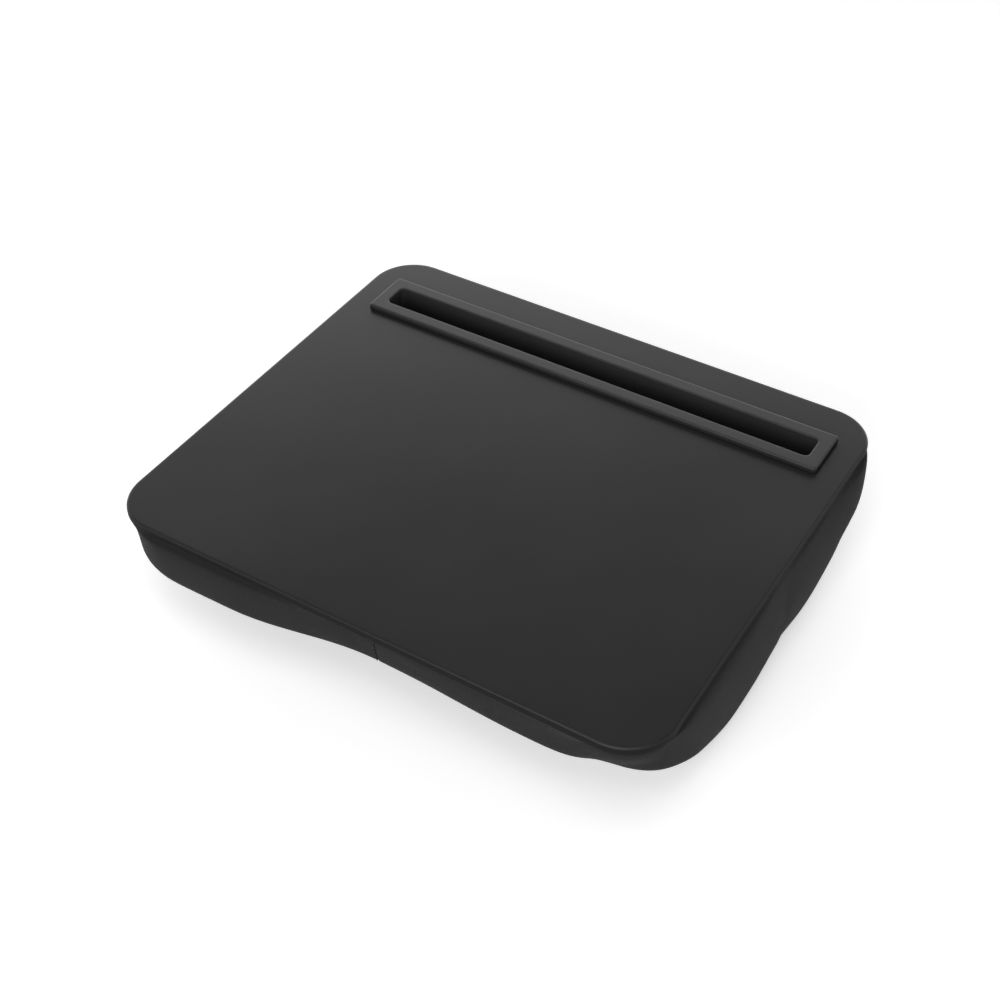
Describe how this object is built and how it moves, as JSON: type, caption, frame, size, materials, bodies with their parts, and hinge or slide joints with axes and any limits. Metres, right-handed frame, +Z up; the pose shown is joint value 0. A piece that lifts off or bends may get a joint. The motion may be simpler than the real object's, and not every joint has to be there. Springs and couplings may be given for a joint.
{
  "type": "tablet cushion stand",
  "caption": "Lap stand with a rigid rounded board, a flanged slot that holds a tablet upright, and a soft bead cushion with a dip between its lobes.",
  "frame": {"origin": "on the surface the stand rests on, under the middle of the board", "axes": "+X to the right as the user sees it, along the tablet slot; +Y to the back, towards the slot; +Z up"},
  "size_m": [0.324, 0.272, 0.059],
  "materials": {
    "board_plastic": "smooth satin, near black",
    "trough_plastic": "fine moulded grain, near black",
    "panel_plastic": "plain moulded, dark grey",
    "hook_tape": "fine stiff hooks, black",
    "loop_tape": "soft loop pile, black",
    "knit_fabric": "brushed fine knit, near black",
    "baffle_cloth": "plain woven lining, off-white",
    "bead_fill": "expanded foam beads, white"
  },
  "bodies": {
    "root": {"top_board": "board_plastic", "slot_trough": "trough_plastic", "backing_panel": "panel_plastic", "hook_strip_1": "hook_tape", "hook_strip_2": "hook_tape", "hook_strip_3": "hook_tape", "hook_strip_4": "hook_tape", "loop_strip_1": "loop_tape", "loop_strip_2": "loop_tape", "loop_strip_3": "loop_tape", "loop_strip_4": "loop_tape", "cover_band_left": "knit_fabric", "cover_band_right": "knit_fabric", "cover_base_left": "knit_fabric", "cover_base_right": "knit_fabric", "centre_baffle": "baffle_cloth", "bead_fill_left": "bead_fill", "bead_fill_right": "bead_fill"}
  },
  "joints": []
}
